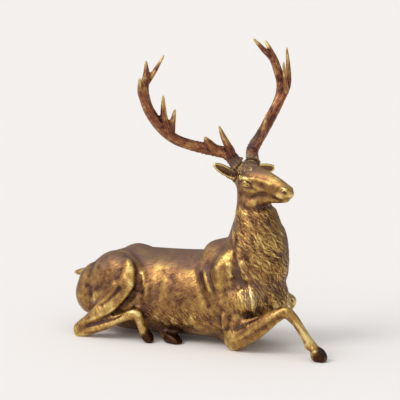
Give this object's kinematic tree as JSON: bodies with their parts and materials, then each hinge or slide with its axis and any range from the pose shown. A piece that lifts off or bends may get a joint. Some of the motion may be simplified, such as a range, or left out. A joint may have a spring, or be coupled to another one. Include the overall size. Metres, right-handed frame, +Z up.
{
  "type": "deer statue",
  "caption": "Statue of a resting stag with folded legs, a turned head, a long curled mane and branched antlers, standing by its own weight.",
  "frame": {"origin": "middle of the statue's bounding box, on the ground that it rests on", "axes": "+X towards the head end of the body, +Y towards the stag's left, +Z up"},
  "size_m": [1.0042, 0.6373, 0.9869],
  "materials": {
    "gilt_bronze": "cast, gilt-toned patina, burnished on the ridges and brown in the hollows",
    "umber_bronze": "cast, dark red-brown patina with rubbed tine tips"
  },
  "bodies": {
    "root": {"stag": "gilt_bronze", "right_antler": "umber_bronze", "left_antler": "umber_bronze"}
  },
  "joints": []
}
